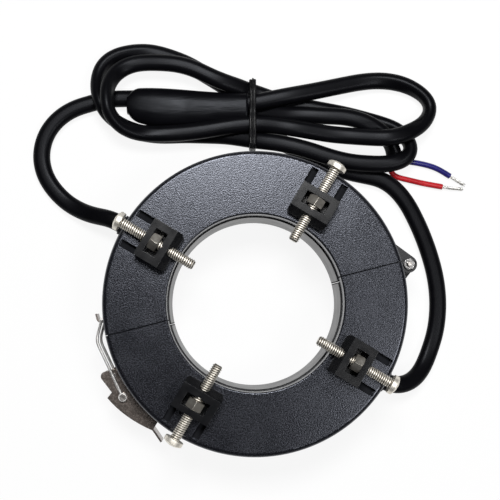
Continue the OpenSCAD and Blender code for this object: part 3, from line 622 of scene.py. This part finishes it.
def splice():
    """Shrunk flat sleeve, in millimetres: round-cornered at its cut end, and on under the tie."""
    cut_end, tie_end = Vector((-38.3, 115.4, 5.0)), Vector((22.6, 101.0, 8.6))
    count, sides = 64, 44
    bunching = 1.3  # above 1, rings lie closer together at the cut end
    corner, least_half = 7.0, 4.7
    wide_power, tall_power = 0.75, 0.8  # below 1, the section is a box with round corners
    mouth, mouth_depth = 0.86, 2.5
    d = (tie_end - cut_end).normalized()
    side, up = across(d)
    bm = bmesh.new()
    rings = []
    for i in range(count + 1):
        t = (i / count) ** bunching
        s = t * (tie_end - cut_end).length
        # the sleeve's two edges, measured from the line between its ends
        far = 9.2 - 3.8 * smooth(s, 8, 61)
        near = -8.6 - 2.5 * smooth(s, 2, 16) + 1.4 * smooth(s, 40, 61)
        cut = corner - math.sqrt(corner ** 2 - (corner - min(s, corner)) ** 2)
        half = max(least_half, (far - near) / 2 - cut)
        tall = (4.5 + 0.5 * math.sin(math.pi * min(1, s / 30))) * (1 - 0.14 * cut / corner)
        c = cut_end.lerp(tie_end, t) + side * (far + near) / 2
        ring = []
        for k in range(sides):
            q = 2 * math.pi * k / sides
            x = math.copysign(abs(math.cos(q)) ** wide_power, math.cos(q)) * half
            y = math.copysign(abs(math.sin(q)) ** tall_power, math.sin(q)) * tall
            ring.append(bm.verts.new((c + side * x + up * y) * MM))
        rings.append(ring)
    skin(bm, rings)
    centre = cut_end * MM
    inner = [bm.verts.new((v.co - centre) * mouth + centre) for v in rings[0]]
    deep = [bm.verts.new(v.co + d * mouth_depth * MM) for v in inner]
    for k in range(sides):
        q = (k + 1) % sides
        bm.faces.new((rings[0][k], rings[0][q], inner[q], inner[k]))
        bm.faces.new((inner[k], inner[q], deep[q], deep[k]))
    bm.faces.new(deep)
    bm.faces.new(rings[-1])
    obj = new_object("splice_sleeve_film", bm, "sleeve")
    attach(obj, "upper_half")
    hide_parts("splice_sleeve")
    return obj


splice_film = splice()


def tie():
    """A thin band wound twice round the bundle, and a narrower turn over both, in millimetres."""
    at, turn = Vector((23.3, 94.6, 0)), math.radians(-14.2)
    x_axis = Vector((math.cos(turn), math.sin(turn), 0))
    y_axis = Vector((-math.sin(turn), math.cos(turn), 0))
    half_w, top, low, corner = 17.4, 14.2, 0.45, 3.4
    thick, chamfer = 0.75, 0.82
    sag, sags_above = 0.5, 8
    step, corner_points = 1.5, 7
    most_under = 0.4  # keeps the underside off the floor
    # each turn's place along the bundle, height over the bundle, lean and half width
    turns = ((-0.95, 0.0, 0.16, 0.92), (0.95, 0.12, -0.1, 0.92), (0.1, 0.55, 0.0, 0.55))
    bm = bmesh.new()

    def outline(grow):
        """The band's loop, seen along the bundle; its top dips between the cables."""
        w, t = half_w + grow - corner, top + grow - corner
        b = low - min(grow, most_under) + corner
        pts = []
        for cx, cz, a0 in ((w, t, 0), (-w, t, 90), (-w, b, 180), (w, b, 270)):
            for k in range(corner_points):
                a = math.radians(a0 + k * 90 / (corner_points - 1))
                pts.append((cx + corner * math.cos(a), cz + corner * math.sin(a)))
        dense = []
        for p, q in zip(pts, pts[1:] + pts[:1]):
            n = max(1, round(math.dist(p, q) / step))
            dense += [(p[0] + (q[0] - p[0]) * k / n, p[1] + (q[1] - p[1]) * k / n)
                      for k in range(n)]
        return [(y, z - dip(y) if z > sags_above else z) for y, z in dense]

    def dip(y):
        """How far the top sinks at y, unevenly."""
        return sag * math.sin(y * 0.42 + 1.0) + 0.35 * sag * math.sin(y * 0.9)

    for offset, lift, lean, wide in turns:
        inner, outer = outline(lift), outline(lift + thick)
        loops = []
        for line, dx in ((inner, -wide), (inner, wide),
                         (outer, wide * chamfer), (outer, -wide * chamfer)):
            loops.append([bm.verts.new((at + x_axis * (offset + dx + lean * math.sin(y * 0.2))
                                        + y_axis * y + UP * z) * MM) for y, z in line])
        # an outer loop has a few points more than an inner one, and they stay unused
        skin(bm, loops + loops[:1])
    obj = new_object("cable_tie_band", bm, "tie")
    soft = obj.modifiers.new("soft", "SUBSURF")
    soft.levels = soft.render_levels = 1
    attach(obj, "upper_half")
    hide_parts("cable_tie")
    return obj


tie_band = tie()


# -------------------------------------------------- clamp screws with thread

# A screw is built in millimetres along +X from its tip, then turned to its clamp
SCREW_LENGTH, PITCH, CREST_R, ROOT_R = 40.0, 1.06, 2.48, 2.1
TIP_R, TAPER = 1.75, 0.9  # the thread rises from TIP_R over the length of TAPER
HEAD_R, HEAD_H, CROWN = 4.75, 3.7, 1.5
GROOVE_SLOT = 1  # the material slot of the thread's root, coloured dark as painted shade in the groove


def circle(bm, x, r, n):
    """A ring of n vertices round the X axis."""
    return [bm.verts.new((x, r * math.cos(2 * math.pi * k / n), r * math.sin(2 * math.pi * k / n)))
            for k in range(n)]


def thread(bm):
    """A helix with a flat root and a flat crest, closed at its tip."""
    per = 28  # steps in one turn
    cap_r, merge = 1.72, 0.002
    profile = [(0.0, ROOT_R), (0.34, ROOT_R), (0.48, CREST_R), (0.86, CREST_R)]
    turns = int(SCREW_LENGTH / PITCH) + 3
    grid = []
    for j in range(turns * per + 1):
        a = 2 * math.pi * (j % per) / per
        x0 = (j / per - 1) * PITCH
        ring = []
        for part, r in profile:
            x = x0 + part * PITCH
            r = min(r, TIP_R + (CREST_R - TIP_R) * held(x / TAPER))
            x = min(max(x, 0.0), SCREW_LENGTH)
            ring.append(bm.verts.new((x, r * math.cos(a), r * math.sin(a))))
        grid.append(ring)
    for j, (here, after) in enumerate(zip(grid, grid[1:])):
        for k in range(len(profile) - 1):
            f = bm.faces.new((here[k], here[k + 1], after[k + 1], after[k]))
            f.material_index = GROOVE_SLOT if k == 0 else 0
        turn_on = j + per
        if turn_on + 1 < len(grid):
            bm.faces.new((here[-1], grid[turn_on][0], grid[turn_on + 1][0], after[-1]))
    bm.faces.new(circle(bm, 0.0, cap_r, per))
    bmesh.ops.remove_doubles(bm, verts=bm.verts, dist=merge)


def cross_recess(y, z):
    """Depth of the cross pressed into the crown: two arms, and a round hub between them."""
    depth, rise, rise_end = 1.5, 0.25, 2.6  # shallower by rise at rise_end from the middle
    arm_half, arm_reach, hub_r = 0.55, 2.55, 1.15
    arm_wall, end_wall, hub_wall = 0.16, 0.35, 0.5  # how wide each sloping wall is
    beside = min(abs(y), abs(z))
    far = max(abs(y), abs(z))
    arms = held((arm_half - beside) / arm_wall) * held((arm_reach - far) / end_wall)
    hub = held((hub_r - math.hypot(y, z)) / hub_wall)
    return depth * max(arms, hub) * (1 - rise * min(1, far / rise_end))


def pan_head(bm):
    """A straight rim and a domed crown, over the thread's end."""
    sides, steps = 72, 22
    neck_r, rim_bevel, crown_inset = 2.4, 0.25, 0.006
    big = (HEAD_R ** 2 + CROWN ** 2) / (2 * CROWN)  # radius of the crown's sphere
    rim_x = SCREW_LENGTH + HEAD_H - CROWN - rim_bevel
    rings = [circle(bm, x, r, sides) for x, r in (
        (SCREW_LENGTH, neck_r), (SCREW_LENGTH, HEAD_R - rim_bevel),
        (SCREW_LENGTH + 0.2, HEAD_R - 0.05), (rim_x, HEAD_R))]
    for s in range(steps + 1):
        r = HEAD_R * (1 - crown_inset) * (1 - s / (steps + 1))
        face_x = SCREW_LENGTH + HEAD_H - big + math.sqrt(max(0.0, big * big - r * r))
        ring = []
        for k in range(sides):
            y, z = r * math.cos(2 * math.pi * k / sides), r * math.sin(2 * math.pi * k / sides)
            ring.append(bm.verts.new((face_x - cross_recess(y, z), y, z)))
        rings.append(ring)
    skin(bm, rings)
    bm.faces.new(rings[-1])
    bm.faces.new(rings[0])


def clamp_screw(number, roll):
    """A pan-head screw in its clamp, turned by roll degrees about its own axis."""
    tip_at = 34.2 * MM  # from the window's axis
    sharp = math.radians(32)
    name = f"clamp_screw_{number}"
    bm = bmesh.new()
    thread(bm)
    pan_head(bm)
    low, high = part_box(name)
    z = (low[2] + high[2]) / 2
    place = (Matrix.Rotation(math.radians(90 * number - 45), 4, "Z")
             @ Matrix.Translation((tip_at, 0, z))
             @ Matrix.Rotation(math.radians(roll), 4, "X") @ Matrix.Scale(MM, 4))
    bmesh.ops.transform(bm, matrix=place, verts=bm.verts)
    obj = new_object(f"{name}_thread", bm, "nickel")
    # the second slot paints the thread's root dark, as painted shade
    obj.data.materials.append(MATS["groove"])
    obj.data.set_sharp_from_angle(angle=sharp)
    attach(obj, name)
    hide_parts(name)


for number, roll in ((1, 17), (2, 40), (3, 62), (4, 8)):
    clamp_screw(number, roll)


# ------------------------------------------------------ floor, light, camera

def floor():
    """The pale backdrop: one even tone where it's seen, and a darker one for its own light."""
    half_size, drop = 12.0, 0.0003
    seen_tone, seen_glow, lit_tone = 0.1, 0.885, 0.45
    bm = bmesh.new()
    bmesh.ops.create_grid(bm, x_segments=2, y_segments=2, size=half_size)
    mesh = bpy.data.meshes.new("floor")
    bm.to_mesh(mesh)
    bm.free()
    obj = bpy.data.objects.new("floor", mesh)
    obj.location = (0, 0, -drop)
    scene.collection.objects.link(obj)
    mat = bpy.data.materials.new("pale_floor")
    mat.use_nodes = True
    t = mat.node_tree
    t.nodes.clear()
    ray = t.nodes.new("ShaderNodeLightPath").outputs

    def either(a, b):
        n = t.nodes.new("ShaderNodeMath")
        n.operation = "MAXIMUM"
        t.links.new(a, n.inputs[0])
        t.links.new(b, n.inputs[1])
        return n.outputs[0]

    def diffuse(tone):
        n = t.nodes.new("ShaderNodeBsdfDiffuse")
        n.inputs["Color"].default_value = (tone, tone, tone, 1)
        return n.outputs[0]

    seen = either(either(ray["Is Camera Ray"], ray["Is Glossy Ray"]), ray["Is Transmission Ray"])
    glow = t.nodes.new("ShaderNodeEmission")
    glow.inputs["Strength"].default_value = seen_glow
    add = t.nodes.new("ShaderNodeAddShader")
    t.links.new(diffuse(seen_tone), add.inputs[0])
    t.links.new(glow.outputs[0], add.inputs[1])
    mix = t.nodes.new("ShaderNodeMixShader")
    t.links.new(seen, mix.inputs["Fac"])
    t.links.new(diffuse(lit_tone), mix.inputs[1])
    t.links.new(add.outputs[0], mix.inputs[2])
    out = t.nodes.new("ShaderNodeOutputMaterial")
    t.links.new(mix.outputs[0], out.inputs["Surface"])
    mesh.materials.append(mat)


def room():
    """A world that is pale round the sides and dim overhead, by the direction alone."""
    pale, middle, dim = (0.8, 0.8, 0.81, 1), (0.2, 0.2, 0.205, 1), (0.035, 0.035, 0.037, 1)
    middle_at, dim_at = 0.12, 0.35
    world = bpy.data.worlds.new("studio")
    scene.world = world
    world.use_nodes = True
    t = world.node_tree
    background = t.nodes["Background"]
    where = t.nodes.new("ShaderNodeTexCoord")
    split = t.nodes.new("ShaderNodeSeparateXYZ")
    t.links.new(where.outputs["Generated"], split.inputs[0])
    ramp = t.nodes.new("ShaderNodeValToRGB")
    t.links.new(split.outputs["Z"], ramp.inputs["Fac"])
    first, last = ramp.color_ramp.elements
    first.position, first.color = 0.0, pale
    last.position, last.color = dim_at, dim
    ramp.color_ramp.elements.new(middle_at).color = middle
    t.links.new(ramp.outputs["Color"], background.inputs["Color"])
    background.inputs["Strength"].default_value = 1.0


def area(name, at, aim, size, power):
    light = bpy.data.lights.new(name, "AREA")
    light.shape = "RECTANGLE"
    light.size, light.size_y = size
    light.energy = power
    obj = bpy.data.objects.new(name, light)
    scene.collection.objects.link(obj)
    d = Vector(aim) - Vector(at)
    obj.matrix_world = Matrix.Translation(at) @ d.to_track_quat("-Z", "Y").to_matrix().to_4x4()


def camera():
    """The photo's view, from nearly straight above the window."""
    at, aim = Vector((-0.0140, -0.0015, 0.562)), Vector((0.00365, 0.0252, 0.045))
    up = Vector((0.245, 0.969, 0))
    lens, sensor = 77.75, 36
    data = bpy.data.cameras.new("camera")
    obj = bpy.data.objects.new("camera", data)
    scene.collection.objects.link(obj)
    f = (aim - at).normalized()
    right = f.cross(up).normalized()
    up = right.cross(f)
    obj.matrix_world = Matrix.Translation(at) @ Matrix((right, up, -f)).transposed().to_4x4()
    data.lens = lens
    data.sensor_width = sensor
    scene.camera = obj


floor()
room()
area("key_softbox", (0.085, 0.42, 1.10), (0, 0.03, 0.02), (0.40, 0.30), 12.6)
area("low_fill", (0.40, -0.32, 1.10), (0, 0, 0.02), (0.36, 0.36), 4.6)
camera()
scene.view_settings.view_transform = "Standard"
